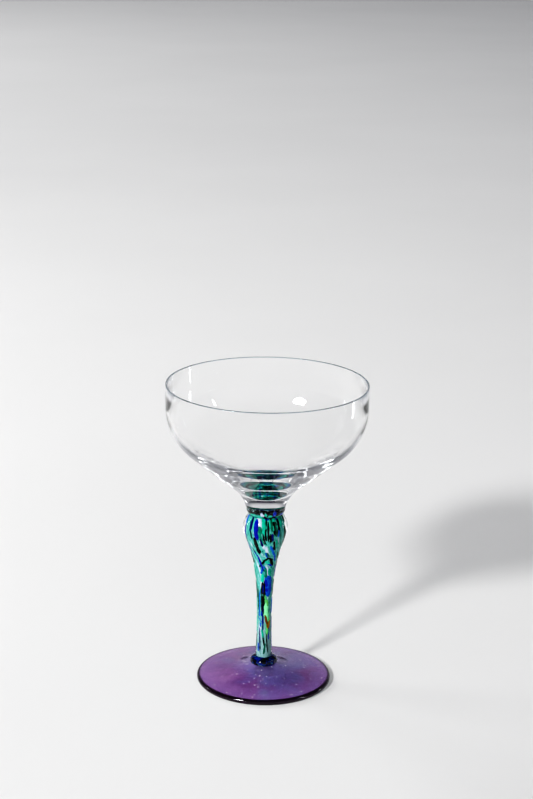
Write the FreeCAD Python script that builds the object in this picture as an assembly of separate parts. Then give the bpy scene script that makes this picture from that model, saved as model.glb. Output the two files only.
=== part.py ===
import FreeCAD, Part
import math
import os

# A champagne coupe made from hot glass. Millimetres, +Z up, origin at the centre of the resting plane.
# The pieces are fused in the real glass: here they are separate solids that meet face to face.

# Overall
HEIGHT = 160.0
RIM_RADIUS = 51.0
FOOT_RADIUS = 34.8

# Levels where one piece ends and the next begins
FOOT_TOP = 8.4
STEM_BOTTOM = 13.0
WAIST = 91.2
BOWL_BOTTOM = 94.4

# Bowl: a short straight wall, a round shoulder, a straight cone and a flared neck. The inside cone is
# flatter than the outside one, so the glass thickens from the thin wall to a solid base.
WALL = 1.2
SHOULDER_TOP = 148.0
SHOULDER_RADIUS = 30.0
OUTER_CONE_ANGLE = math.radians(39.6)
INNER_SHOULDER_RADIUS = 26.7
INNER_CONE_ANGLE = math.radians(32.8)
INNER_BOTTOM_RADIUS = 12.6
NECK_RADIUS = 10.0
NECK_SLOPE = math.radians(76.0)

# Upper collar: radius at each level, from the waist up to the bowl
COLLAR_PROFILE = ((8.7, WAIST), (9.35, 92.2), (9.9, 93.5), (NECK_RADIUS, BOWL_BOTTOM))

# Stem and knop: radius of the clear casing at each level, from the base collar up to the waist
STEM_PROFILE = (
    (4.35, STEM_BOTTOM),
    (4.0, 24.0),
    (3.95, 38.0),
    (4.55, 52.0),
    (5.9, 63.0),
    (8.2, 72.5),
    (10.6, 79.5),
    (11.5, 84.2),
    (10.5, 88.4),
    (8.7, WAIST),
)
CORE_SHARE = 0.6

# Base collar and foot
BASE_COLLAR_RADIUS = 7.3
BASE_COLLAR_SEAT = 5.6
BASE_COLLAR_DROP = 0.3
FOOT_EDGE = 1.45
FOOT_UNDERSIDE = 3.4
FOOT_DISH = 0.5
LAND_WIDTH = 2.2

# Coloured chips: they lie just outside the core and turn with it where it was twisted
TWIST_TOP = 86.0
TWIST_BOTTOM = 50.0
TWIST_ANGLE = math.radians(150.0)
CHIP_GAP = 0.15
CHIP_SECTIONS = 7
CHIP_END = 0.25
CHIP_WIDTH_SPREAD = 0.25
CHIP_LENGTH_SPREAD = 0.2

# Rings of chips: top level, bottom level, number round the core, thickness, share of the ring covered
CHIP_RINGS = (
    (89.6, 84.4, 11, 0.6, 0.55),
    (83.8, 76.0, 11, 0.7, 0.6),
    (75.4, 66.0, 9, 0.6, 0.55),
    (65.4, 53.0, 6, 0.45, 0.5),
    (52.4, 40.0, 5, 0.4, 0.5),
    (39.4, 26.0, 5, 0.4, 0.5),
    (25.4, 14.6, 5, 0.4, 0.5),
)
CHIP_COLOURS = (
    "cobalt_streaks", "black_streaks", "jade_streaks", "black_streaks", "cobalt_streaks", "jade_streaks")
LIME_RING = 5
LIME_COLOURS = ("amber_fleck", "lime_streaks", "lime_streaks")
FRONT = math.radians(-70.0)
GOLDEN_SHARE = 0.618


def point(radius, height):
    return FreeCAD.Vector(radius, 0, height)


def line(start, end):
    return Part.LineSegment(start, end).toShape()


def arc(start, middle, end):
    return Part.Arc(start, middle, end).toShape()


def circle_arc(centre, radius, start_angle, end_angle):
    """An arc in the outline plane; angles are measured from the +X direction."""
    def on_circle(angle):
        return centre + FreeCAD.Vector(radius * math.cos(angle), 0, radius * math.sin(angle))

    middle_angle = (start_angle + end_angle) / 2
    return arc(on_circle(start_angle), on_circle(middle_angle), on_circle(end_angle))


def spline(points):
    curve = Part.BSplineCurve()
    curve.interpolate(points)
    return curve.toShape()


def turned(edges):
    """The solid of revolution about Z of a closed outline."""
    face = Part.Face(Part.Wire(Part.__sortEdges__(edges)))
    return face.revolve(FreeCAD.Vector(0, 0, 0), FreeCAD.Vector(0, 0, 1), 360)


def bowl_outside():
    """From the neck's bottom edge up to the top of the outer wall."""
    shoulder_centre = point(RIM_RADIUS - SHOULDER_RADIUS, SHOULDER_TOP)
    cone_top = shoulder_centre + FreeCAD.Vector(
        SHOULDER_RADIUS * math.sin(OUTER_CONE_ANGLE), 0, -SHOULDER_RADIUS * math.cos(OUTER_CONE_ANGLE))
    # The neck is the arc that leaves the collar at NECK_SLOPE and runs smoothly into the cone
    cone_rise = math.tan(OUTER_CONE_ANGLE)
    drop = cone_top.z - (cone_top.x - NECK_RADIUS) * cone_rise - BOWL_BOTTOM
    rise = math.cos(OUTER_CONE_ANGLE) - math.cos(NECK_SLOPE)
    run = math.sin(NECK_SLOPE) - math.sin(OUTER_CONE_ANGLE)
    flare = drop / (rise - run * cone_rise)
    neck_centre = point(
        NECK_RADIUS + flare * math.sin(NECK_SLOPE), BOWL_BOTTOM - flare * math.cos(NECK_SLOPE))
    cone_bottom = neck_centre + FreeCAD.Vector(
        -flare * math.sin(OUTER_CONE_ANGLE), 0, flare * math.cos(OUTER_CONE_ANGLE))
    return [
        circle_arc(neck_centre, flare, math.pi / 2 + NECK_SLOPE, math.pi / 2 + OUTER_CONE_ANGLE),
        line(cone_bottom, cone_top),
        circle_arc(shoulder_centre, SHOULDER_RADIUS, OUTER_CONE_ANGLE - math.pi / 2, 0),
        line(point(RIM_RADIUS, SHOULDER_TOP), point(RIM_RADIUS, HEIGHT - WALL / 2)),
    ]


def bowl_inside():
    """From the top of the inner wall down to the bottom on the axis, and the bottom's level."""
    inner_radius = RIM_RADIUS - WALL
    shoulder_centre = point(inner_radius - INNER_SHOULDER_RADIUS, SHOULDER_TOP)
    cone_top = shoulder_centre + FreeCAD.Vector(
        INNER_SHOULDER_RADIUS * math.sin(INNER_CONE_ANGLE), 0,
        -INNER_SHOULDER_RADIUS * math.cos(INNER_CONE_ANGLE))
    cone_bottom_radius = INNER_BOTTOM_RADIUS * math.sin(INNER_CONE_ANGLE)
    cone_bottom = point(
        cone_bottom_radius, cone_top.z - (cone_top.x - cone_bottom_radius) * math.tan(INNER_CONE_ANGLE))
    bottom_centre = point(0, cone_bottom.z + INNER_BOTTOM_RADIUS * math.cos(INNER_CONE_ANGLE))
    edges = [
        line(point(inner_radius, HEIGHT - WALL / 2), point(inner_radius, SHOULDER_TOP)),
        circle_arc(shoulder_centre, INNER_SHOULDER_RADIUS, 0, INNER_CONE_ANGLE - math.pi / 2),
        line(cone_top, cone_bottom),
        circle_arc(bottom_centre, INNER_BOTTOM_RADIUS, INNER_CONE_ANGLE - math.pi / 2, -math.pi / 2),
    ]
    return edges, bottom_centre.z - INNER_BOTTOM_RADIUS


def bowl():
    lip = circle_arc(point(RIM_RADIUS - WALL / 2, HEIGHT - WALL / 2), WALL / 2, 0, math.pi)
    inside, inner_bottom = bowl_inside()
    axis = line(point(0, inner_bottom), point(0, BOWL_BOTTOM))
    base = line(point(0, BOWL_BOTTOM), point(NECK_RADIUS, BOWL_BOTTOM))
    return turned(bowl_outside() + [lip] + inside + [axis, base])


def upper_collar():
    waist_radius = COLLAR_PROFILE[0][0]
    return turned([
        line(point(0, WAIST), point(waist_radius, WAIST)),
        spline([point(radius, height) for radius, height in COLLAR_PROFILE]),
        line(point(NECK_RADIUS, BOWL_BOTTOM), point(0, BOWL_BOTTOM)),
        line(point(0, BOWL_BOTTOM), point(0, WAIST)),
    ])


def stem_curve(share):
    """The stem's outline, shrunk towards the axis by the given share."""
    return spline([point(radius * share, height) for radius, height in STEM_PROFILE])


def stem_core():
    top_radius = STEM_PROFILE[-1][0] * CORE_SHARE
    bottom_radius = STEM_PROFILE[0][0] * CORE_SHARE
    return turned([
        stem_curve(CORE_SHARE),
        line(point(top_radius, WAIST), point(0, WAIST)),
        line(point(0, WAIST), point(0, STEM_BOTTOM)),
        line(point(0, STEM_BOTTOM), point(bottom_radius, STEM_BOTTOM)),
    ])


def stem_casing(chips):
    """The clear gather round the core, with a pocket for every coloured chip."""
    top_radius = STEM_PROFILE[-1][0]
    bottom_radius = STEM_PROFILE[0][0]
    shell = turned([
        stem_curve(1.0),
        line(point(top_radius, WAIST), point(top_radius * CORE_SHARE, WAIST)),
        stem_curve(CORE_SHARE),
        line(point(bottom_radius * CORE_SHARE, STEM_BOTTOM), point(bottom_radius, STEM_BOTTOM)),
    ])
    return shell.cut(Part.makeCompound(chips))


def base_collar():
    stem_radius = STEM_PROFILE[0][0]
    bulge = point(BASE_COLLAR_RADIUS, (FOOT_TOP + STEM_BOTTOM) / 2 - BASE_COLLAR_DROP)
    return turned([
        line(point(0, FOOT_TOP), point(BASE_COLLAR_SEAT, FOOT_TOP)),
        arc(point(BASE_COLLAR_SEAT, FOOT_TOP), bulge, point(stem_radius, STEM_BOTTOM)),
        line(point(stem_radius, STEM_BOTTOM), point(0, STEM_BOTTOM)),
        line(point(0, STEM_BOTTOM), point(0, FOOT_TOP)),
    ])


def foot():
    edge_centre = point(FOOT_RADIUS - FOOT_EDGE, FOOT_EDGE)
    edge_top = point(edge_centre.x, 2 * FOOT_EDGE)
    land_outer = point(edge_centre.x, 0)
    land_inner = point(land_outer.x - LAND_WIDTH, 0)
    middle_radius = (BASE_COLLAR_SEAT + edge_top.x) / 2
    top_middle = point(middle_radius, (FOOT_TOP + edge_top.z) / 2 - FOOT_DISH)
    dome_radius = (land_inner.x ** 2 + FOOT_UNDERSIDE ** 2) / (2 * FOOT_UNDERSIDE)
    dome_angle = math.asin(land_inner.x / dome_radius)
    dome_centre = point(0, FOOT_UNDERSIDE - dome_radius)
    return turned([
        line(point(0, FOOT_TOP), point(BASE_COLLAR_SEAT, FOOT_TOP)),
        spline([point(BASE_COLLAR_SEAT, FOOT_TOP), top_middle, edge_top]),
        circle_arc(edge_centre, FOOT_EDGE, math.pi / 2, -math.pi / 2),
        line(land_outer, land_inner),
        circle_arc(dome_centre, dome_radius, math.pi / 2 - dome_angle, math.pi / 2),
        line(point(0, FOOT_UNDERSIDE), point(0, FOOT_TOP)),
    ])


def twist(height):
    """How far the drawn glass has turned about Z at this level."""
    share = (TWIST_TOP - height) / (TWIST_TOP - TWIST_BOTTOM)
    share = min(max(share, 0.0), 1.0)
    return TWIST_ANGLE * share * share * (3 - 2 * share)


def core_radius(height):
    """Radius of the core at this level, where its outline crosses a level line."""
    level = Part.LineSegment(point(0, height), point(RIM_RADIUS, height)).toShape()
    return stem_curve(CORE_SHARE).distToShape(level)[1][0][0].x


def chip_section(radius, height, angle, width, thickness):
    """A lens outline in a level plane: an inner arc along the core and an outer arc, tip to tip."""
    half = width / (2 * radius)

    def place(distance, turn):
        return FreeCAD.Vector(distance * math.cos(turn), distance * math.sin(turn), height)

    tips = place(radius, angle - half), place(radius, angle + half)
    return (
        arc(tips[0], place(radius, angle), tips[1]),
        arc(tips[0], place(radius + thickness, angle), tips[1]),
    )


def chip(top, bottom, angle, width, thickness):
    """One coloured chip, drawn out from top to bottom and tapered at both ends."""
    sections = []
    for index in range(CHIP_SECTIONS):
        share = index / (CHIP_SECTIONS - 1)
        height = top + (bottom - top) * share
        taper = CHIP_END + (1 - CHIP_END) * math.sin(math.pi * share)
        sections.append(chip_section(
            core_radius(height) + CHIP_GAP, height, angle + twist(height), width * taper, thickness * taper))
    faces = [Part.Face(Part.Wire(section)) for section in (sections[0], sections[-1])]
    for upper, lower in zip(sections, sections[1:]):
        faces += [Part.makeRuledSurface(upper_arc, lower_arc) for upper_arc, lower_arc in zip(upper, lower)]
    shell = Part.makeShell(faces)
    shell.sewShape()
    solid = Part.makeSolid(shell)
    solid = solid if solid.Volume > 0 else solid.reversed()
    return solid


def coloured_chips():
    """Every chip, sorted by colour: ring by ring down the stem, spread evenly round the core."""
    chips = {name: [] for name in CHIP_COLOURS + LIME_COLOURS}
    number = 0
    for ring, (top, bottom, count, thickness, cover) in enumerate(CHIP_RINGS):
        pitch = 2 * math.pi / count
        for place in range(count):
            number += 1
            shift = (number * GOLDEN_SHARE) % 1.0
            angle = FRONT + pitch * (place + 0.5 * (ring % 2))
            width = pitch * core_radius((top + bottom) / 2) * cover * (1 - CHIP_WIDTH_SPREAD * shift)
            length = (top - bottom) * (1 - CHIP_LENGTH_SPREAD * shift)
            colour = CHIP_COLOURS[number % len(CHIP_COLOURS)]
            if ring == LIME_RING and place < len(LIME_COLOURS):
                colour = LIME_COLOURS[place]
            angle -= twist((top + bottom) / 2)
            chips[colour].append(chip(top, top - length, angle, width, thickness))
    return chips


if __name__ == "__main__":
    os.makedirs("parts", exist_ok=True)
    chips = coloured_chips()
    pieces = {
        "bowl": bowl(),
        "upper_collar": upper_collar(),
        "stem_casing": stem_casing([one for group in chips.values() for one in group]),
        "stem_core": stem_core(),
        "base_collar": base_collar(),
        "foot": foot(),
    }
    for name, group in chips.items():
        pieces[name] = Part.makeCompound(group)
    for name, shape in pieces.items():
        print(name, "valid" if shape.isValid() else "NOT VALID", len(shape.Solids), round(shape.Volume, 1))
        shape.exportStep(f"parts/{name}.step")
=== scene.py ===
import math
import random

import bpy
from mathutils import Matrix, Vector, noise


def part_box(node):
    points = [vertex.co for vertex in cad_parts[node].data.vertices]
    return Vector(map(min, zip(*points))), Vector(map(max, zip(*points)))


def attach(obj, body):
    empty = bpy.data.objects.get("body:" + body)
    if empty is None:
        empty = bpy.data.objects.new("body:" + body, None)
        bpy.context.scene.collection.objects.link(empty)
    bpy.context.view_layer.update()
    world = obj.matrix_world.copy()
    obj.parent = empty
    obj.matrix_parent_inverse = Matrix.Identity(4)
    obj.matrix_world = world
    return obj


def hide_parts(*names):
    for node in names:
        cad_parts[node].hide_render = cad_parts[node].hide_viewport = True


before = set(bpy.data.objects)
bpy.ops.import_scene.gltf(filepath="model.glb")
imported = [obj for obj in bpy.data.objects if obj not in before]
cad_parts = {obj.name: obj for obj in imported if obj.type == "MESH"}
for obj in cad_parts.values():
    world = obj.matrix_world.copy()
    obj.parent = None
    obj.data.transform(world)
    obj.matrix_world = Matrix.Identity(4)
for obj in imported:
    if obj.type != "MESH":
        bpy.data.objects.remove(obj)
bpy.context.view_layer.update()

# Looks of a hand-made champagne coupe. Metres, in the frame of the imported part.
MM = 0.001

# Driving sizes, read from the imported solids
BOWL_LOW, BOWL_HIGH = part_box("bowl")
STEM_LOW, STEM_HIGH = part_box("stem_casing")
RING_LOW, RING_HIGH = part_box("base_collar")
FOOT_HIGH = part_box("foot")[1]

# Bowl
WALL = 1.2 * MM
RIM_WALL = 0.8 * MM
SHOULDER_TOP = 148.0 * MM
SHOULDER_RADIUS = 30.0 * MM
OUTER_CONE = math.radians(39.6)
INNER_SHOULDER = 26.7 * MM
INNER_CONE = math.radians(32.8)
INNER_BOTTOM = 12.6 * MM
NECK_RADIUS = 10.0 * MM
NECK_SLOPE = math.radians(76)

# Collar under the bowl, and the clear casing of the stem: (radius, level) in millimetres
COLLAR_PROFILE = ((8.7, 91.2), (9.35, 92.2), (9.9, 93.5), (10.0, 94.4))
STEM_PROFILE = (
    (4.35, 13.0), (4.0, 24.0), (3.95, 38.0), (4.55, 52.0), (5.9, 63.0),
    (8.2, 72.5), (10.6, 79.5), (11.5, 84.2), (10.5, 88.4), (8.7, 91.2),
)
# The core's radius as a share of the casing's
CORE_SHARE = 0.56

# The collar's coloured glass runs on up as a lip, just inside the clear skin of the bowl's neck, round a
# shallow dish: levels of the lip's outside, then (radius, level) over its top and down into the dish, both
# in millimetres
LIP_LEVELS = (94.7, 95.3, 95.9, 96.2)
LIP_SKIN = 0.08 * MM
DISH_PROFILE = ((10.25, 96.35), (9.95, 96.2), (9.4, 95.7), (8.2, 95.3), (6.0, 95.0), (3.0, 94.85))
DISH_MIDDLE = 94.8
# Patches: colour, degrees from the front towards +X, millimetres up the outline, half sizes of both. Teal and
# blue are melted-in glass, pale is a painted highlight, and the dish colours are painted lit copies.
COLLAR_PATCHES = (
    ("teal", -40, 1.5, 26, 0.9),
    ("teal", -20, 0.8, 13, 0.6),
    # The two pale patches are painted highlights on the collar's front
    ("pale", -12, 2.9, 3.5, 1.2),
    ("pale", -7, 2.0, 2.5, 0.7),
    ("teal", 1, 2.6, 4, 0.9),
    ("teal", 14, 1.6, 6, 0.7),
    ("blue", 28, 2.9, 6, 1.4),
    ("teal", 42, 0.8, 9, 0.6),
    ("blue", 60, 1.8, 10, 0.7),
    ("teal", 180, 6.6, 70, 0.35),
    ("teal", 120, 2.0, 20, 1.2),
    ("blue", 160, 1.5, 16, 1.0),
    ("teal", 205, 1.6, 24, 0.9),
    ("blue", 245, 2.6, 14, 1.2),
    # The dish patches are teal and blue painted lighter, as painted light that stands in for the light inside
    # the bowl
    ("painted_lit_dish_teal", -8, 8.2, 62, 1.8),
    ("painted_lit_dish_blue", 8, 7.2, 12, 0.7),
    ("painted_lit_dish_blue", 52, 8.4, 10, 1.0),
    ("painted_lit_dish_teal", 110, 8.6, 16, 0.8),
    ("painted_lit_dish_teal", 235, 9.4, 18, 0.9),
    ("painted_lit_dish_blue", 180, 9.6, 26, 0.6),
    ("painted_lit_dish_teal", -100, 8.0, 24, 1.2),
    ("painted_lit_dish_blue", -128, 7.4, 15, 0.9),
    ("painted_lit_dish_teal", 92, 7.4, 18, 1.0),
    ("painted_lit_dish_blue", 128, 8.0, 15, 1.0),
    ("painted_lit_dish_teal", 160, 11.0, 30, 0.9),
    ("painted_lit_dish_teal", -60, 11.5, 40, 0.8),
)
# pale is a painted highlight, not a colour of the glass
PATCH_COLOURS = {
    "teal": (0.02, 0.38, 0.28), "blue": (0.002, 0.03, 0.40), "pale": (0.45, 0.52, 0.68),
    # The dish colours are lit copies of teal and blue: painted light
    "painted_lit_dish_teal": (0.05, 0.75, 0.58), "painted_lit_dish_blue": (0.01, 0.12, 0.80),
}
FLECKS = (0.10, 0.36, 0.36)
# Flecks in the dish, painted lighter as painted light
DISH_FLECKS_PAINTED_LIT = (0.50, 0.80, 0.82)
COLLAR_BLACK = (0.001, 0.004, 0.005)

# Ring on the foot: (inset from its widest radius, level above its underside) in millimetres
RING_SIDE = ((0.4, 0.9), (0.05, 2.0), (0.8, 3.4))
RING_BUMPS = 0.35 * MM

# Foot: radius of its rounded edge, height of its hollow, how far its top sags, and what it stands on
FOOT_EDGE = 1.45 * MM
FOOT_UNDERSIDE = 3.4 * MM
FOOT_DISH = 0.5 * MM
LAND_WIDTH = 2.2 * MM
SEAT_RADIUS = 5.6 * MM

# The drawn glass turns about Z between these levels
TWIST_TOP = 84.0 * MM
TWIST_BOTTOM = 46.0 * MM
TWIST_ANGLE = math.radians(160.0)
# A chip whose ends differ by less than this in twist is drawn straight
LEAST_TWIST = 0.05

# Points round each turned piece
SEGMENTS = 256
# Angle about Z of the side that shows
FRONT = -math.pi / 2

# Coloured chips on the side that shows, placed one by one: colour, shade from dark 0 to light 1, width in
# millimetres, then angle from the front towards +X in degrees and level in millimetres, at top and bottom
CHIPS = (
    ("cobalt", 0.1, 1.5, (-62, 89.5), (-68, 82.5)),
    ("cobalt", 0.5, 2.1, (-39, 89.0), (-33, 79.5)),
    ("black", 0.1, 0.7, (-63, 83.0), (-58, 79.5)),
    ("black", 0.0, 1.9, (-47, 80.8), (-31, 71.2)),
    ("jade", 0.5, 1.6, (-23, 86.0), (-19, 82.5)),
    ("cobalt", 0.1, 1.3, (-18, 80.8), (-12, 76.0)),
    ("jade", 0.8, 1.9, (-7, 90.6), (-5, 82.0)),
    ("black", 0.0, 0.8, (1, 90.8), (3, 86.4)),
    ("black", 0.0, 0.9, (0, 85.4), (4, 79.2)),
    ("cobalt", 0.6, 0.7, (-3, 90.9), (-2, 88.6)),
    ("cobalt", 0.6, 0.9, (10, 90.9), (10, 88.8)),
    ("black", 0.0, 0.7, (11, 88.2), (13, 78.8)),
    ("jade", 0.9, 0.8, (17, 89.2), (18, 85.4)),
    ("black", 0.1, 1.0, (20, 82.8), (24, 78.4)),
    ("cobalt", 0.2, 1.2, (27, 82.8), (32, 79.0)),
    ("jade", 0.3, 1.3, (25, 90.4), (26, 83.6)),
    ("jade", 0.9, 0.7, (31, 86.6), (33, 83.8)),
    ("jade", 0.2, 1.9, (41, 87.8), (46, 81.2)),
    ("jade", 0.9, 0.6, (46, 86.2), (48, 83.8)),
    ("jade", 0.9, 1.1, (37, 90.9), (38, 87.6)),
    ("jade", 1.0, 0.8, (29, 89.9), (30, 87.9)),
    ("black", 0.0, 1.3, (33, 88.4), (38, 82.0)),
    ("black", 0.1, 1.2, (56, 88.8), (60, 82.4)),
    ("cobalt", 0.7, 0.9, (50, 90.7), (52, 88.4)),
    ("jade", 0.9, 2.2, (70, 88.4), (70, 84.6)),
    ("cobalt", 0.8, 1.0, (57, 84.2), (54, 80.8)),
    ("jade", 0.8, 1.2, (50, 79.5), (58, 74.5)),
    ("black", 0.2, 1.1, (38, 79.0), (52, 73.2)),
    ("cobalt", 0.9, 1.2, (25, 76.4), (60, 69.6)),
    ("cobalt", 0.7, 0.9, (60, 71.0), (72, 66.5)),
    ("jade", 0.3, 0.9, (9, 72.3), (20, 69.8)),
    ("cobalt", 0.7, 0.7, (3, 72.3), (14, 69.0)),
    ("jade", 0.6, 0.7, (-22, 83.5), (-2, 77.0)),
    ("black", 0.5, 0.7, (-9, 84.0), (0, 77.6)),
    ("jade", 0.2, 0.7, (-78, 74.5), (-55, 71.5)),
    ("cobalt", 0.5, 0.8, (-70, 72.8), (-45, 69.2)),
    ("cobalt", 0.45, 1.0, (-46, 70.4), (-13, 61.0)),
    ("black", 0.7, 1.3, (-41, 63.3), (-20, 65.6)),
    ("black", 0.3, 1.2, (-24, 65.2), (0, 67.6)),
    ("black", 0.0, 1.3, (-5, 67.2), (24, 69.2)),
    ("black", 0.0, 1.6, (18, 69.3), (42, 67.8)),
    ("black", 0.0, 1.6, (34, 68.8), (56, 63.8)),
    ("jade", 1.0, 1.8, (8, 67.2), (30, 65.4)),
    ("cobalt", 0.6, 1.4, (26, 65.5), (50, 63.8)),
    ("cobalt", 0.7, 0.8, (-9, 64.2), (-2, 62.6)),
    ("cobalt", 0.8, 0.9, (-19, 62.6), (-30, 59.4)),
    ("jade", 0.5, 0.9, (4, 63.4), (14, 57.2)),
    ("jade", 0.7, 1.5, (37, 62.6), (42, 58.6)),
    ("jade", 0.9, 1.3, (-19, 59.6), (-21, 54.6)),
    ("cobalt", 0.75, 3.4, (30, 58.6), (38, 46.6)),
    ("cobalt", 0.5, 1.8, (12, 56.6), (26, 48.4)),
    ("black", 0.1, 1.1, (-4, 55.5), (-2, 41.0)),
    ("black", 0.0, 1.0, (-20, 54.8), (-29, 47.3)),
    ("cobalt", 0.2, 0.9, (-12, 53.6), (-14, 48.0)),
    ("black", 0.1, 1.0, (-28, 47.8), (-24, 37.8)),
    ("cobalt", 1.0, 0.5, (-43, 50.8), (-54, 38.8)),
    ("jade", 0.1, 0.4, (-76, 51.8), (-72, 38.5)),
    ("lime", 0.3, 1.2, (2, 48.2), (6, 42.5)),
    ("lime", 0.9, 2.2, (16, 43.5), (26, 34.5)),
    ("lime", 0.1, 1.1, (26, 45.0), (34, 40.8)),
    ("cobalt", 0.0, 0.7, (-13, 42.0), (-15, 37.6)),
    ("lime", 0.8, 1.5, (36, 38.0), (44, 31.0)),
    ("lime", 0.3, 1.6, (46, 36.0), (36, 25.0)),
    ("amber", 0.2, 1.0, (6, 36.6), (44, 28.4)),
    ("amber", 0.8, 1.1, (64, 33.0), (40, 28.6)),
    ("black", 0.0, 0.6, (-14, 40.5), (-13, 36.3)),
    ("cobalt", 0.6, 0.7, (-32, 38.4), (-31, 35.6)),
    ("cobalt", 0.2, 0.7, (-18, 37.0), (-14, 27.6)),
    ("cobalt", 0.9, 0.7, (-44, 31.8), (-43, 29.4)),
    ("jade", 0.7, 0.9, (-28, 28.2), (-2, 21.6)),
    ("black", 0.1, 0.7, (-14, 24.6), (6, 18.6)),
    ("cobalt", 0.6, 0.9, (-72, 20.4), (-66, 15.4)),
    ("cobalt", 0.9, 0.5, (-60, 40.2), (-59, 35.0)),
    ("cobalt", 0.9, 0.5, (-70, 34.5), (-30, 32.0)),
    ("cobalt", 0.1, 0.7, (-54, 29.0), (-42, 15.0)),
    ("black", 0.4, 0.5, (24, 26.0), (40, 15.0)),
    ("jade", 0.3, 0.8, (14, 20.5), (-4, 14.2)),
    ("cobalt", 0.5, 0.5, (58, 33.0), (52, 22.0)),
)

# Pale milky strands in the core: width in millimetres, then angle and level at top and bottom
STRANDS = (
    (1.6, (-30, 90.0), (-24, 84.0)),
    (0.8, (-12, 79.5), (-5, 74.0)),
    (0.9, (2, 76.5), (14, 71.0)),
    (0.6, (-67, 67.5), (-28, 57.2)),
    (0.6, (-28, 57.4), (-37, 50.5)),
    (0.5, (-7, 57.5), (-3, 44.0)),
    (0.6, (9, 65.0), (32, 56.0)),
    (0.9, (-55, 31.0), (-46, 22.0)),
)

# Chips on the far side, where nothing is known of them: top level, bottom level, number, width
FAR_RINGS = (
    (90.0, 83.0, 9, 1.6),
    (84.0, 77.0, 9, 1.6),
    (79.0, 71.0, 7, 1.4),
    (72.0, 63.0, 6, 1.1),
    (65.0, 55.0, 5, 0.9),
    (56.0, 44.0, 4, 0.9),
    (46.0, 34.0, 4, 0.8),
    (35.0, 24.0, 3, 0.8),
    (26.0, 15.0, 3, 0.8),
)
FAR_START = math.radians(98)
FAR_END = math.radians(262)
FAR_COLOURS = ("cobalt", "black", "jade")
FAR_SEED = 11
CHIP_ROWS = 14
CHIP_COLUMNS = 6
CHIP_THICKNESS = 0.28 * MM
CHIP_UNEVENNESS = 0.35
CHIP_SWAY = 0.2
# How far the chips lie off the core
CHIP_LIFT = 0.06 * MM
# The amber fleck lies over the lime patch
AMBER_LIFT = 0.3 * MM

# Chip colours, dark to light
CHIP_COLOURS = {
    "cobalt": ((0.0, 0.001, 0.035), (0.0, 0.01, 0.33), (0.0, 0.16, 0.62)),
    "black": ((0.0, 0.001, 0.001), (0.0, 0.006, 0.004), (0.0, 0.06, 0.015)),
    "jade": ((0.0, 0.025, 0.014), (0.0, 0.17, 0.11), (0.01, 0.55, 0.38)),
    "lime": ((0.12, 0.42, 0.1), (0.13, 0.6, 0.22), (0.3, 0.85, 0.45)),
    "amber": ((0.11, 0.03, 0.002), (0.22, 0.09, 0.005), (0.36, 0.19, 0.012)),
}
CHIP_NODES = {
    "cobalt": ("cobalt_streaks", "cobalt_glass"),
    "black": ("black_streaks", "black_glass"),
    "jade": ("jade_streaks", "jade_glass"),
    "lime": ("lime_streaks", "lime_glass"),
    "amber": ("amber_fleck", "amber_glass"),
}

# Materials; a shine is the share of the reflections that is kept
GLASS_IOR = 1.52
BOWL_SHINE = 0.6
# The rim's slate tint is a painted dark reflection of the room
RIM_PAINTED_REFLECTION = (0.26, 0.34, 0.40)
CASING_SHINE = 0.35
# The core greys out towards the foot
CORE_GREY = (0.34, 0.46, 0.49)
CORE_MILK = (0.56, 0.60, 0.76)
FADE_TOP = 44.0 * MM
FADE_BOTTOM = 20.0 * MM
FADE_MOST = 0.65
# How much of the noise pattern goes by in a metre of level: the strands are drawn out along the stem
FLOW_DRAW = 60.0
STREAK_STRENGTH = 0.75

FOOT_IOR = 1.5
FOOT_TRANSMISSION = 0.7
RIPPLE_STRENGTH = 0.35
RIPPLE_HEIGHT = 0.3 * MM
# Painted light: the clouds shift from lighter mauve at -X, the side of the key light, to bluer violet at +X,
# by this much of the colour ramp a metre
FOOT_PAINTED_LIGHT_DRIFT = 7.0
FOOT_MAUVE = (0.58, 0.30, 0.66)
FOOT_PURPLE = (0.36, 0.15, 0.46)
FOOT_VIOLET = (0.30, 0.25, 0.62)
# A lilac painted highlight on the rise towards the ring
FOOT_PAINTED_HIGHLIGHT = (0.46, 0.42, 0.82)
FOOT_BAND = (0.57, 0.33, 0.80)
# Pale specks: painted glints of the seeds in the glass
FOOT_PAINTED_SEED_GLINT = (0.90, 0.85, 1.0)
FOOT_PAINTED_REFLECTION = (0.05, 0.02, 0.06)
# Painted dark reflections of the ring on the foot beside it: centre, then half sizes round and outwards, in
# millimetres
FOOT_PAINTED_REFLECTIONS = (((9.4, 10.4), 3.4, 2.0), ((-9.8, 10.2), 2.8, 1.6))
PAINTED_REFLECTION_DEPTH = 0.85
# Where a painted reflection is darker than the limit, the glass bends light so little that it doesn't mirror
# the room
PAINTED_REFLECTION_LIMIT = 0.4
PAINTED_REFLECTION_IOR = 1.12
FOOT_DARK = (0.018, 0.008, 0.013)
FOOT_DARK_WIDTH = 1.9 * MM

# Studio
WARM = (1.0, 0.995, 0.98)
COOL = (0.93, 0.96, 1.0)
PANEL_TARGET = (0, 0, 0.08)
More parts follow.
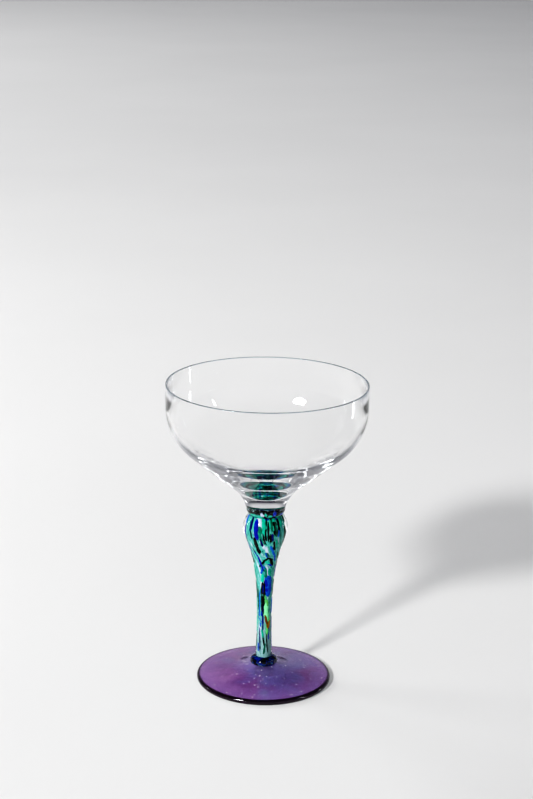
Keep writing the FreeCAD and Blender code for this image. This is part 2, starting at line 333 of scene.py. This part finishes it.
# Large lamps that the glass doesn't mirror: name, shape, place, target, width, height, watts
PANELS = (
    ("key", "ELLIPSE", (-2.26, -3.2, 2.25), PANEL_TARGET, 0.58, 0.58, 160),
    ("left_fill", "RECTANGLE", (-1.43, 0.44, 0.7), PANEL_TARGET, 0.5, 1.4, 14.2),
    ("left_far", "RECTANGLE", (-2.5, 2.5, 2.0), (0, 2.0, 0), 1.5, 1.5, 55),
    ("near_top", "RECTANGLE", (-0.9, 0.5, 1.2), (-0.3, 0.3, 0), 1.0, 1.0, 1.9),
    ("back_wide", "RECTANGLE", (-0.6, 5.0, 3.0), (-0.3, 2.5, 0), 3.0, 2.0, 16),
    ("front_far", "RECTANGLE", (0.5, -5.0, 3.0), (0.3, -4.0, 0), 3.0, 3.0, 60),
)
GLINT_REACH = 1.5
GLINT_TARGET = (0, 0, 0.13)
# Small lamps, only seen mirrored: name, degrees about Z from +X, degrees up, width, height, watts
GLINTS = (
    ("round_glint", -133, 28, 0.4, 0.4, 30),
    ("right_spot", -18, 22, 0.08, 0.4, 3),
)
# Thin upright strip lamps, also seen through the glass: name, degrees about Z from +X, distance, width,
# lowest level, highest level, watts
STRIPS = (
    ("left_strip", 163, 0.55, 0.02, 0.10, 0.34, 0.23),
    ("right_strip", 17, 0.55, 0.03, 0.0, 0.22, 0.2),
)
WORLD_FRONT = (0.85, 0.85, 0.88)
WORLD_SIDE = (0.29, 0.30, 0.33)
WORLD_BACK = (0.60, 0.60, 0.62)
WORLD_TOP = (0.05, 0.053, 0.065)
# The room's tone from front to back, and the height where the dark overhead begins and where it is full
WORLD_ROUND = ((0.15, WORLD_FRONT), (0.35, WORLD_SIDE), (0.84, WORLD_SIDE), (0.94, WORLD_BACK))
WORLD_LOW = 0.3
WORLD_HIGH = 0.7
FLOOR_SIZE = 16
FLOOR_LEVEL = -0.05 * MM
FLOOR_TONES = ((0.3, (0.79, 0.79, 0.79)), (0.7, (0.81, 0.81, 0.81)))
LIGHT_BOUNCES = 48
# How dark tones are shown: (scene value, shown value)
DARKS = ((0.05, 0.014), (0.15, 0.09), (0.35, 0.31), (0.6, 0.6))
CAMERA_PLACE = (-0.0004, -0.9042, 0.4199)
CAMERA_LENS = 84.9
CAMERA_SENSOR = 36.0
CAMERA_DIP = math.radians(16.53)
CAMERA_ROLL = math.radians(0.8)


# ---------- outlines ----------

def arc_points(centre, radius, start, end, count=16):
    """Points along an arc; angles from the outward direction."""
    points = []
    for index in range(count + 1):
        angle = start + (end - start) * index / count
        points.append((centre[0] + radius * math.cos(angle), centre[1] + radius * math.sin(angle)))
    return points


def smooth_through(points, count=8):
    """A smooth line through (radius, level) points, with Catmull-Rom tangents."""
    line = []
    last = len(points) - 1
    for index in range(last):
        before = points[max(index - 1, 0)]
        start, end = points[index], points[index + 1]
        after = points[min(index + 2, last)]
        for step in range(count):
            t = step / count
            weights = (
                -0.5 * t + t * t - 0.5 * t ** 3,
                1 - 2.5 * t * t + 1.5 * t ** 3,
                0.5 * t + 2 * t * t - 1.5 * t ** 3,
                -0.5 * t * t + 0.5 * t ** 3,
            )
            line.append(tuple(
                sum(w * p[axis] for w, p in zip(weights, (before, start, end, after))) for axis in (0, 1)))
    line.append(points[last])
    return line


def in_metres(profile, share=1.0):
    return smooth_through([(radius * share * MM, level * MM) for radius, level in profile])


def radius_at(line, level):
    """Radius of an outline at a level, between its two nearest points."""
    for lower, upper in zip(line, line[1:]):
        if lower[1] <= level <= upper[1]:
            share = (level - lower[1]) / max(upper[1] - lower[1], 1e-9)
            return lower[0] + (upper[0] - lower[0]) * share
    return line[-1][0] if level > line[-1][1] else line[0][0]


def twist(level):
    """How far the drawn glass has turned about Z at this level."""
    share = (TWIST_TOP - level) / (TWIST_TOP - TWIST_BOTTOM)
    share = min(max(share, 0.0), 1.0)
    return TWIST_ANGLE * share * share * (3 - 2 * share)


# ---------- meshes ----------

def add_mesh(name, vertices, faces, materials):
    mesh = bpy.data.meshes.new(name)
    mesh.from_pydata(vertices, [], faces)
    mesh.validate()
    for polygon in mesh.polygons:
        polygon.use_smooth = True
    piece = bpy.data.objects.new(name, mesh)
    bpy.context.scene.collection.objects.link(piece)
    for material in materials:
        mesh.materials.append(material)
    return piece


def lathe(name, outline, materials, wobble=None):
    """A closed solid turned about Z; the outline starts and ends on the axis."""
    vertices, rings = [], []
    for radius, level in outline:
        if radius < 1e-7:
            rings.append([len(vertices)])
            vertices.append((0.0, 0.0, level))
            continue
        ring = []
        for index in range(SEGMENTS):
            angle = 2 * math.pi * index / SEGMENTS
            place = Vector((radius * math.cos(angle), radius * math.sin(angle), level))
            if wobble:
                place = wobble(place)
            ring.append(len(vertices))
            vertices.append(tuple(place))
        rings.append(ring)
    faces = []
    for lower, upper in zip(rings, rings[1:]):
        for index in range(SEGMENTS):
            after = (index + 1) % SEGMENTS
            if len(lower) == 1:
                faces.append((lower[0], upper[after], upper[index]))
            elif len(upper) == 1:
                faces.append((lower[index], lower[after], upper[0]))
            else:
                faces.append((lower[index], lower[after], upper[after], upper[index]))
    return add_mesh(name, vertices, faces, materials)


def add_values(piece, name, values):
    """One number for each vertex, which the material reads by name."""
    attribute = piece.data.attributes.new(name, "FLOAT", "POINT")
    attribute.data.foreach_set("value", values)


def add_vectors(piece, name, values):
    """One vector for each vertex, which the material reads by name."""
    attribute = piece.data.attributes.new(name, "FLOAT_VECTOR", "POINT")
    attribute.data.foreach_set("vector", [number for vector in values for number in vector])


def use_second(piece, test):
    """Gives the piece's second material to the faces whose middle passes the test."""
    for polygon in piece.data.polygons:
        if test(polygon.center):
            polygon.material_index = 1


def stand_for(piece, node):
    """The piece stands for the CAD node of that name, on the only body."""
    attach(piece, "root")
    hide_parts(node)


# ---------- materials ----------

def new_material(name, **inputs):
    """A Principled material; inputs are its constant values, with _ for a space."""
    material = bpy.data.materials.new(name)
    material.use_nodes = True
    shader = material.node_tree.nodes["Principled BSDF"]
    for key, value in inputs.items():
        shader.inputs[key.replace("_", " ")].default_value = value
    return material, shader, material.node_tree


def link(tree, output, target):
    tree.links.new(output, target)


def noise_node(tree, vector, scale, detail=3.0, roughness=0.5, distortion=0.0):
    node = tree.nodes.new("ShaderNodeTexNoise")
    node.inputs["Scale"].default_value = scale
    node.inputs["Detail"].default_value = detail
    node.inputs["Roughness"].default_value = roughness
    node.inputs["Distortion"].default_value = distortion
    link(tree, vector, node.inputs["Vector"])
    return node.outputs["Fac"]


def ramp_node(tree, factor, stops):
    """A colour ramp with (position, colour) stops."""
    node = tree.nodes.new("ShaderNodeValToRGB")
    ramp = node.color_ramp
    while len(ramp.elements) < len(stops):
        ramp.elements.new(1.0)
    for element, (position, colour) in zip(ramp.elements, stops):
        element.position = position
        element.color = (*colour, 1)
    link(tree, factor, node.inputs[0])
    return node.outputs["Color"]


def mix_node(tree, factor, first, second):
    """The first colour where the factor is 0, the second where it is 1."""
    node = tree.nodes.new("ShaderNodeMix")
    node.data_type = "RGBA"
    for value, target in ((factor, node.inputs[0]), (first, node.inputs[6]), (second, node.inputs[7])):
        if isinstance(value, tuple):
            target.default_value = (*value, 1)
        else:
            link(tree, value, target)
    return node.outputs[2]


def math_node(tree, operation, first, second=None, third=None):
    """A float is a constant, and anything else is linked."""
    node = tree.nodes.new("ShaderNodeMath")
    node.operation = operation
    for value, target in zip((first, second, third), node.inputs):
        if value is None:
            continue
        if isinstance(value, float):
            target.default_value = value
        else:
            link(tree, value, target)
    return node.outputs[0]


def range_node(tree, value, start, end, most=1.0):
    """Rises from 0 where the value is at the start to the most at the end, and stays between them."""
    node = tree.nodes.new("ShaderNodeMapRange")
    node.inputs["From Min"].default_value = start
    node.inputs["From Max"].default_value = end
    node.inputs["To Max"].default_value = most
    link(tree, value, node.inputs["Value"])
    return node.outputs[0]


def object_place(tree):
    return tree.nodes.new("ShaderNodeTexCoord").outputs["Object"]


def attribute_node(tree, name, output):
    node = tree.nodes.new("ShaderNodeAttribute")
    node.attribute_name = name
    return node.outputs[output]


def clear_glass(name, shine, colour=(1, 1, 1)):
    """Clear glass; its reflections are dimmed to the share shine."""
    return new_material(
        name, Base_Color=(*colour, 1), Roughness=0.0, IOR=GLASS_IOR, Transmission_Weight=1.0,
        Specular_Tint=(shine, shine, shine, 1))[0]


def core_glass():
    """Aqua glass with teal and pale strands drawn out along the twist."""
    material, shader, tree = new_material("core_glass", Roughness=0.4, Specular_IOR_Level=0.0)
    flow = attribute_node(tree, "flow", "Vector")
    strands = noise_node(tree, flow, scale=4.2, detail=4.0, roughness=0.6, distortion=0.3)
    base = ramp_node(tree, strands, (
        (0.32, (0.0, 0.07, 0.06)), (0.41, (0.01, 0.29, 0.23)), (0.50, (0.14, 0.50, 0.43)),
        (0.57, (0.02, 0.30, 0.27)), (0.64, (0.44, 0.60, 0.68))))
    faded = mix_node(tree, attribute_node(tree, "fade", "Fac"), base, CORE_GREY)
    threads = noise_node(tree, flow, scale=12.0, distortion=0.2)
    fine = ramp_node(tree, threads, (
        (0.33, (0.05, 0.14, 0.16)), (0.46, (1.0, 1.0, 1.0)), (0.7, (1.0, 1.0, 1.0))))
    streaked = tree.nodes.new("ShaderNodeMix")
    streaked.data_type = "RGBA"
    streaked.blend_type = "MULTIPLY"
    streaked.inputs[0].default_value = STREAK_STRENGTH
    link(tree, faded, streaked.inputs[6])
    link(tree, fine, streaked.inputs[7])
    milk = attribute_node(tree, "milk", "Fac")
    link(tree, mix_node(tree, milk, streaked.outputs[2], CORE_MILK), shader.inputs["Base Color"])
    return material


def chip_glass(name):
    """Opaque coloured glass whose shade drifts a little inside each chip."""
    dark, middle, light = CHIP_COLOURS[name]
    material, shader, tree = new_material(name + "_chip_glass", Roughness=0.4, Specular_IOR_Level=0.0)
    drift = noise_node(tree, object_place(tree), scale=700.0)
    drift = math_node(tree, "MULTIPLY_ADD", drift, 0.7, -0.35)
    shade = math_node(tree, "ADD", drift, attribute_node(tree, "shade", "Fac"))
    colour = ramp_node(tree, shade, ((0.0, dark), (0.5, middle), (1.0, light)))
    link(tree, colour, shader.inputs["Base Color"])
    return material


def collar_glass(name, specular, fleck_colour):
    """The collar's vertex colours, partly painted light (pale painted highlights and a dish painted lighter),
    with small pale flecks.
    """
    material, shader, tree = new_material(name, Roughness=0.04, Specular_IOR_Level=specular)
    pattern = noise_node(tree, object_place(tree), scale=620.0, detail=2.0, distortion=0.8)
    flecks = range_node(tree, pattern, 0.58, 0.66, 0.7)
    tint_and_painted_light = attribute_node(tree, "tint_and_painted_light", "Vector")
    link(tree, mix_node(tree, flecks, tint_and_painted_light, fleck_colour), shader.inputs["Base Color"])
    return material


def ring_glass():
    """Navy glass with cobalt and dark teal patches; its palest teal stop is painted glints."""
    material, shader, tree = new_material("ring_glass", Roughness=0.05, Specular_IOR_Level=0.5)
    patches = noise_node(tree, object_place(tree), scale=420.0, detail=4.0, roughness=0.6, distortion=1.0)
    # The last, palest stop is painted glints, not a colour of the glass
    colour = ramp_node(tree, patches, (
        (0.42, (0.001, 0.002, 0.004)), (0.50, (0.0, 0.003, 0.04)), (0.57, (0.0, 0.02, 0.24)),
        (0.62, (0.0, 0.05, 0.06)), (0.72, (0.08, 0.2, 0.24))))
    link(tree, colour, shader.inputs["Base Color"])
    return material


def foot_glass(name, bend):
    """Amethyst glass with mauve to violet clouds and a nearly black edge, with painted light: lighter mauve
    on the -X side, a lilac highlight near the ring, glints of seeds and dark reflections of the ring.
    """
    material, shader, tree = new_material(
        name, Roughness=0.06, IOR=bend, Transmission_Weight=FOOT_TRANSMISSION)
    place = object_place(tree)
    split = tree.nodes.new("ShaderNodeSeparateXYZ")
    link(tree, place, split.inputs[0])
    clouds = noise_node(tree, place, scale=70.0, detail=5.0, roughness=0.6, distortion=0.8)
    # Painted light: lighter mauve towards the key at -X, bluer violet towards +X
    drift = math_node(tree, "MULTIPLY_ADD", split.outputs["X"], FOOT_PAINTED_LIGHT_DRIFT, clouds)
    colour = ramp_node(tree, drift, (
        (0.20, FOOT_MAUVE), (0.40, FOOT_PURPLE), (0.60, FOOT_VIOLET), (0.80, FOOT_PURPLE)))
    relief = tree.nodes.new("ShaderNodeBump")
    relief.inputs["Strength"].default_value = RIPPLE_STRENGTH
    relief.inputs["Distance"].default_value = RIPPLE_HEIGHT
    ripples = noise_node(tree, place, scale=260.0, detail=4.0, roughness=0.6, distortion=0.4)
    link(tree, ripples, relief.inputs["Height"])
    link(tree, relief.outputs[0], shader.inputs["Normal"])
    across = math_node(tree, "MULTIPLY", split.outputs["X"], split.outputs["X"])
    squared = math_node(tree, "MULTIPLY_ADD", split.outputs["Y"], split.outputs["Y"], across)
    flat = math_node(tree, "POWER", squared, 0.5)
    rim = FOOT_HIGH.x
    # Lilac painted highlight, growing towards the ring
    colour = mix_node(tree, range_node(tree, flat, rim / 2, SEAT_RADIUS, 0.75), colour, FOOT_PAINTED_HIGHLIGHT)
    colour = mix_node(tree, range_node(tree, flat, 0.6 * rim, 0.9 * rim, 0.55), colour, FOOT_BAND)
    # Painted glints of seeds, as pale specks
    seed_glints = range_node(tree, noise_node(tree, place, scale=500.0, detail=1.0), 0.69, 0.72)
    colour = mix_node(tree, seed_glints, colour, FOOT_PAINTED_SEED_GLINT)
    # Painted dark reflections of the ring
    colour = mix_node(tree, attribute_node(tree, "painted_reflection", "Fac"), colour, FOOT_PAINTED_REFLECTION)
    edge = range_node(tree, flat, rim - FOOT_DARK_WIDTH, rim - 0.6 * FOOT_DARK_WIDTH)
    link(tree, mix_node(tree, edge, colour, FOOT_DARK), shader.inputs["Base Color"])
    return material


# ---------- pieces ----------

def bowl_outline():
    rim = BOWL_HIGH.x
    low = BOWL_LOW.z
    shoulder = (rim - SHOULDER_RADIUS, SHOULDER_TOP)
    outer = arc_points(shoulder, SHOULDER_RADIUS, OUTER_CONE - math.pi / 2, 0, 40)
    # The neck is the arc that leaves the collar at NECK_SLOPE and runs smoothly into the cone
    cone_rise = math.tan(OUTER_CONE)
    drop = outer[0][1] - (outer[0][0] - NECK_RADIUS) * cone_rise - low
    rise = math.cos(OUTER_CONE) - math.cos(NECK_SLOPE)
    run = math.sin(NECK_SLOPE) - math.sin(OUTER_CONE)
    flare = drop / (rise - run * cone_rise)
    centre = (NECK_RADIUS + flare * math.sin(NECK_SLOPE), low - flare * math.cos(NECK_SLOPE))
    neck = arc_points(centre, flare, math.pi / 2 + NECK_SLOPE, math.pi / 2 + OUTER_CONE, 32)
    lip = arc_points((rim - RIM_WALL / 2, BOWL_HIGH.z - RIM_WALL / 2), RIM_WALL / 2, 0, math.pi, 12)
    inner_centre = (rim - WALL - INNER_SHOULDER, SHOULDER_TOP)
    inner = arc_points(inner_centre, INNER_SHOULDER, 0, INNER_CONE - math.pi / 2, 40)
    bottom_radius = INNER_BOTTOM * math.sin(INNER_CONE)
    bottom_level = inner[-1][1] - (inner[-1][0] - bottom_radius) * math.tan(INNER_CONE)
    bottom_centre = (0.0, bottom_level + INNER_BOTTOM * math.cos(INNER_CONE))
    bottom = arc_points(bottom_centre, INNER_BOTTOM, INNER_CONE - math.pi / 2, -math.pi / 2, 24)
    bottom[-1] = (0.0, bottom[-1][1])
    return [(0.0, low)] + neck + outer + lip + inner + bottom


def bowl():
    # The rim is tinted slate as a painted dark reflection
    glass = [clear_glass("bowl_glass", BOWL_SHINE), clear_glass("rim_painted_reflection_glass", BOWL_SHINE, RIM_PAINTED_REFLECTION)]
    piece = lathe("blown_bowl", bowl_outline(), glass)
    use_second(piece, lambda centre: centre.z > BOWL_HIGH.z - RIM_WALL / 2)
    piece.visible_diffuse = False
    stand_for(piece, "bowl")


def casing():
    outline = [(0.0, STEM_LOW.z)] + in_metres(STEM_PROFILE) + [(0.0, STEM_HIGH.z)]
    piece = lathe("clear_casing", outline, [clear_glass("casing_glass", CASING_SHINE)])
    piece.visible_diffuse = False
    piece.visible_shadow = False
    stand_for(piece, "stem_casing")


def along(start, end, share):
    """Angle and level part of the way along a chip; the angle follows the twist between its ends."""
    (start_angle, start_level), (end_angle, end_level) = start, end
    level = start_level + (end_level - start_level) * share
    whole = twist(end_level) - twist(start_level)
    turned = twist(level) - twist(start_level)
    follow = turned / whole if abs(whole) > LEAST_TWIST else share
    return start_angle + (end_angle - start_angle) * follow, level


def measured(end):
    """An (angle in degrees from the front, level in millimetres) end in radians and metres."""
    return FRONT + math.radians(end[0]), end[1] * MM


def core():
    """The coloured core; it carries the twisted flow and the pale strands as vertex values."""
    outline = [(0.0, STEM_LOW.z)] + smooth_through(CORE_LINE, 4)
    outline.append((0.0, STEM_HIGH.z))
    piece = lathe("twisted_core", outline, [core_glass()])
    flow, milk = [], []
    strands = [(width * MM, measured(top), measured(bottom)) for width, top, bottom in STRANDS]
    for vertex in piece.data.vertices:
        place = vertex.co
        radius = math.hypot(place.x, place.y)
        angle = math.atan2(place.y, place.x)
        turned = angle - twist(place.z)
        flow.append((math.cos(turned), math.sin(turned), place.z * FLOW_DRAW))
        level_of_milk = 0.0
        for width, top, bottom in strands:
            if not bottom[1] < place.z < top[1]:
                continue
            share = (place.z - top[1]) / (bottom[1] - top[1])
            aim = along(top, bottom, share)[0]
            away = abs((angle - aim + math.pi) % (2 * math.pi) - math.pi) * radius
            taper = math.sin(math.pi * share) ** 0.5
            level_of_milk = max(level_of_milk, taper * max(0.0, 1.0 - (away / width) ** 2))
        milk.append(level_of_milk)
    add_vectors(piece, "flow", flow)
    add_values(piece, "milk", milk)
    fade = [(FADE_TOP - vertex.co.z) / (FADE_TOP - FADE_BOTTOM) for vertex in piece.data.vertices]
    add_values(piece, "fade", [FADE_MOST * min(max(share, 0.0), 1.0) for share in fade])
    stand_for(piece, "stem_core")


def add_chip(vertices, faces, shades, chip, clearance):
    """One chip: a thin lens over the core, drawn out along the twist, with an uneven outline."""
    shade, width, top, bottom = chip
    first = len(vertices)
    for row in range(CHIP_ROWS + 1):
        share = row / CHIP_ROWS
        angle, level = along(top, bottom, share)
        radius = radius_at(CORE_LINE, level) + clearance
        rough = noise.noise(Vector((angle * 3, level * 900, width * 5000)))
        taper = min(1.0, 2.2 * math.sin(math.pi * min(max(share, 0.02), 0.98)) ** 0.8)
        taper *= 1 + CHIP_UNEVENNESS * rough
        half = 0.5 * width * taper / radius
        sway = CHIP_SWAY * half * noise.noise(Vector((angle * 5, level * 500, 7.0)))
        columns = range(CHIP_COLUMNS + 1)
        for side in (1.0, 0.0):
            for column in (columns if side else reversed(columns[1:-1])):
                across = 2 * column / CHIP_COLUMNS - 1
                lift = radius + side * CHIP_THICKNESS * taper * (1 - across * across)
                turn = angle + sway + across * half
                vertices.append((lift * math.cos(turn), lift * math.sin(turn), level))
                shades.append(shade)
    loop = 2 * CHIP_COLUMNS
    for row in range(CHIP_ROWS):
        for index in range(loop):
            after = (index + 1) % loop
            low = first + row * loop
            faces.append((low + index, low + after, low + loop + after, low + loop + index))
    faces.append(tuple(first + index for index in reversed(range(loop))))
    faces.append(tuple(first + CHIP_ROWS * loop + index for index in range(loop)))


def far_chips():
    """Chips round the far side, spread by a seeded draw along the same twist."""
    draw = random.Random(FAR_SEED)
    chips = []
    for top, bottom, count, width in FAR_RINGS:
        for index in range(count):
            share = (index + draw.uniform(0.1, 0.9)) / count
            angle = FRONT + FAR_START + (FAR_END - FAR_START) * share
            start = top * MM - draw.uniform(0, 1.5) * MM
            end = bottom * MM + draw.uniform(0, 2.5) * MM
            middle = twist((start + end) / 2)
            colour = draw.choice(FAR_COLOURS)
            size = width * MM * draw.uniform(0.6, 1.3)
            chips.append((colour, draw.random(), size,
                          (angle + twist(start) - middle, start), (angle + twist(end) - middle, end)))
    return chips


def chips():
    """All chips of one colour are one piece."""
    placed = [(colour, shade, width * MM, measured(top), measured(bottom))
              for colour, shade, width, top, bottom in CHIPS]
    placed += far_chips()
    for name, (node, slot) in CHIP_NODES.items():
        vertices, faces, shades = [], [], []
        clearance = AMBER_LIFT if name == "amber" else CHIP_LIFT
        for colour, *chip in placed:
            if colour == name:
                add_chip(vertices, faces, shades, chip, clearance)
        piece = add_mesh(name + "_chips", vertices, faces, [chip_glass(name)])
        add_values(piece, "shade", shades)
        stand_for(piece, node)


def collar_tint_and_painted_light(place, run):
    """Colour of the collar at a place, run metres up its outline; the pale patches are painted highlights and
    the dish patches are painted lighter.
    """
    colour = Vector(COLLAR_BLACK)
    angle = math.degrees(math.atan2(place.y, place.x) - FRONT)
    rough = 0.5 * noise.noise(place * 500) + 0.3 * noise.noise(place * 1500)
    for name, middle, height, half_angle, half_height in COLLAR_PATCHES:
        across = ((angle - middle + 180) % 360 - 180) / half_angle
        away = math.hypot(across, (run / MM - height) / half_height) + rough
        share = min(max((1.15 - away) / 0.3, 0.0), 1.0)
        colour = colour.lerp(Vector(PATCH_COLOURS[name]), share)
    return colour


def collar():
    neck = bowl_outline()
    side = in_metres(COLLAR_PROFILE)
    lip = [(radius_at(neck, level * MM) - LIP_SKIN, level * MM) for level in LIP_LEVELS]
    dish = in_metres(DISH_PROFILE + ((0.0, DISH_MIDDLE),))
    dish[-1] = (0.0, DISH_MIDDLE * MM)
    outline = [(0.0, STEM_HIGH.z)] + side + lip + dish
    # The dish's glass shows its patches and flecks painted lighter, as painted light
    glass = [collar_glass("collar_glass", 0.5, FLECKS), collar_glass("collar_dish_glass_painted_lit", 0.0, DISH_FLECKS_PAINTED_LIT)]
    piece = lathe("top_collar", outline, glass)
    use_second(piece, lambda centre: centre.z > BOWL_LOW.z)
    runs, run = [0.0, 0.0], 0.0
    for lower, upper in zip(outline[1:], outline[2:]):
        run += math.dist(lower, upper)
        runs.append(run)
    tints_and_painted_light = [collar_tint_and_painted_light(vertex.co, runs[min((vertex.index - 1) // SEGMENTS + 1, len(runs) - 1)])
             for vertex in piece.data.vertices]
    add_vectors(piece, "tint_and_painted_light", tints_and_painted_light)
    stand_for(piece, "upper_collar")


def uneven(place):
    """Where a point of the base ring goes: it was pressed on by hand, so its outside is lumpy."""
    away = Vector((place.x, place.y, 0)).normalized()
    middle = (RING_LOW.z + RING_HIGH.z) / 2
    reach = max(0.0, 1 - abs(place.z - middle) / (RING_HIGH.z - middle))
    return place + away * reach * RING_BUMPS * (noise.noise(place * 450) - 0.7)


def base_ring():
    side = [(RING_HIGH.x - inset * MM, RING_LOW.z + rise * MM) for inset, rise in RING_SIDE]
    side = [(SEAT_RADIUS, RING_LOW.z)] + side + [(STEM_PROFILE[0][0] * MM, RING_HIGH.z)]
    outline = [(0.0, RING_LOW.z)] + smooth_through(side) + [(0.0, RING_HIGH.z)]
    piece = lathe("base_ring", outline, [ring_glass()], uneven)
    stand_for(piece, "base_collar")


def foot_outline():
    rim = FOOT_HIGH.x - FOOT_EDGE
    land = rim - LAND_WIDTH
    radius = (land ** 2 + FOOT_UNDERSIDE ** 2) / (2 * FOOT_UNDERSIDE)
    angle = math.asin(land / radius)
    under = arc_points((0, FOOT_UNDERSIDE - radius), radius, math.pi / 2, math.pi / 2 - angle, 24)
    under[0] = (0.0, FOOT_UNDERSIDE)
    side = arc_points((rim, FOOT_EDGE), FOOT_EDGE, -math.pi / 2, math.pi / 2, 16)
    middle = ((SEAT_RADIUS + rim) / 2, (FOOT_HIGH.z + 2 * FOOT_EDGE) / 2 - FOOT_DISH)
    top = smooth_through([(rim, 2 * FOOT_EDGE), middle, (SEAT_RADIUS, FOOT_HIGH.z)], 16)
    return under + side + top[1:] + [(0.0, FOOT_HIGH.z)]


def painted_reflection_at(place):
    """How dark the foot is painted at a place, from the painted dark reflections of the ring beside it."""
    depth = 0.0
    for (x, y), half_round, half_out in FOOT_PAINTED_REFLECTIONS:
        away = Vector((place.x / MM - x, place.y / MM - y))
        out = Vector((x, y)).normalized()
        along_out = away.dot(out) / half_out
        along_round = away.cross(out) / half_round
        reach = math.hypot(along_out, along_round) + 0.4 * noise.noise(place * 900)
        depth = max(depth, min(max((1.2 - reach) / 0.6, 0.0), 1.0))
    return PAINTED_REFLECTION_DEPTH * depth if place.z > FOOT_EDGE else 0.0


def foot():
    # The second glass carries the painted dark reflections of the ring
    glass = [foot_glass("foot_glass", FOOT_IOR), foot_glass("painted_reflection_glass", PAINTED_REFLECTION_IOR)]
    piece = lathe("amethyst_foot", foot_outline(), glass)
    add_values(piece, "painted_reflection", [painted_reflection_at(vertex.co) for vertex in piece.data.vertices])
    use_second(piece, lambda centre: painted_reflection_at(centre) > PAINTED_REFLECTION_LIMIT)
    piece.visible_diffuse = False
    stand_for(piece, "foot")


# ---------- studio ----------

def camera():
    """The camera looks down a little at the glass from the front."""
    data = bpy.data.cameras.new("camera")
    data.lens = CAMERA_LENS
    data.sensor_width = CAMERA_SENSOR
    view = bpy.data.objects.new("camera", data)
    view.location = CAMERA_PLACE
    tilt = Matrix.Rotation(math.pi / 2 - CAMERA_DIP, 3, "X") @ Matrix.Rotation(CAMERA_ROLL, 3, "Z")
    view.rotation_euler = tilt.to_euler()
    bpy.context.scene.collection.objects.link(view)
    bpy.context.scene.camera = view


def area_light(name, place, target, width, height, power, colour, shape="RECTANGLE"):
    data = bpy.data.lights.new(name, "AREA")
    data.shape = shape
    data.size, data.size_y = width, height
    data.energy = power
    data.color = colour
    light = bpy.data.objects.new(name, data)
    light.location = place
    light.rotation_euler = (Vector(target) - Vector(place)).to_track_quat("-Z", "Y").to_euler()
    light.visible_camera = False
    bpy.context.scene.collection.objects.link(light)
    return light


def panels():
    """The large soft lamps that light the glass and the floor; the glass doesn't mirror them."""
    for name, shape, place, target, width, height, power in PANELS:
        light = area_light(name, place, target, width, height, power, WARM, shape)
        light.visible_glossy = False
        light.visible_transmission = False


def glints():
    """Small lamps for the bright spots in the bowl, and strip lamps for the streaks at its sides."""
    for name, around, rise, width, height, power in GLINTS:
        turn, lift = math.radians(around), math.radians(rise)
        flat = GLINT_REACH * math.cos(lift)
        level = GLINT_TARGET[2] + GLINT_REACH * math.sin(lift)
        place = (flat * math.cos(turn), flat * math.sin(turn), level)
        light = area_light(name, place, GLINT_TARGET, width, height, power, COOL, "ELLIPSE")
        light.visible_diffuse = False
        light.visible_transmission = False
    for name, around, reach, width, lowest, highest, power in STRIPS:
        turn, level = math.radians(around), (lowest + highest) / 2
        place = (reach * math.cos(turn), reach * math.sin(turn), level)
        light = area_light(name, place, (0, 0, level), width, highest - lowest, power, COOL)
        light.visible_diffuse = False


def studio_world():
    """A room that is pale in front of the glass and behind it, grey at the sides and dark above."""
    world = bpy.data.worlds.new("world")
    bpy.context.scene.world = world
    world.use_nodes = True
    tree = world.node_tree
    split = tree.nodes.new("ShaderNodeSeparateXYZ")
    link(tree, tree.nodes.new("ShaderNodeTexCoord").outputs["Generated"], split.inputs[0])
    round_about = ramp_node(tree, math_node(tree, "MULTIPLY_ADD", split.outputs["Y"], 0.5, 0.5), WORLD_ROUND)
    overhead = range_node(tree, split.outputs["Z"], WORLD_LOW, WORLD_HIGH)
    colour = mix_node(tree, overhead, round_about, WORLD_TOP)
    link(tree, colour, tree.nodes["Background"].inputs["Color"])


def studio_floor():
    """A pale matt floor, a hair below the foot."""
    material, shader, tree = new_material("floor", Roughness=0.9, Specular_IOR_Level=0.0)
    grain = noise_node(tree, object_place(tree), scale=3.0)
    link(tree, ramp_node(tree, grain, FLOOR_TONES), shader.inputs["Base Color"])
    bpy.ops.mesh.primitive_plane_add(size=FLOOR_SIZE, location=(0, 0, FLOOR_LEVEL))
    floor = bpy.context.object
    floor.name = "floor"
    floor.data.materials.append(material)


def light_paths():
    """Light in the thick base of the bowl is reflected many times before it leaves."""
    cycles = bpy.context.scene.cycles
    cycles.max_bounces = LIGHT_BOUNCES
    cycles.glossy_bounces = LIGHT_BOUNCES
    cycles.transmission_bounces = LIGHT_BOUNCES


def grading():
    """The plain view transform, with slightly deeper darks."""
    view = bpy.context.scene.view_settings
    view.view_transform = "Standard"
    view.use_curve_mapping = True
    curve = view.curve_mapping.curves[3]
    for darkness, shown in DARKS:
        curve.points.new(darkness, shown)
    view.curve_mapping.update()


CORE_LINE = in_metres(STEM_PROFILE, CORE_SHARE)
bowl()
casing()
core()
chips()
collar()
base_ring()
foot()

studio_floor()
studio_world()
panels()
glints()
camera()
light_paths()
grading()
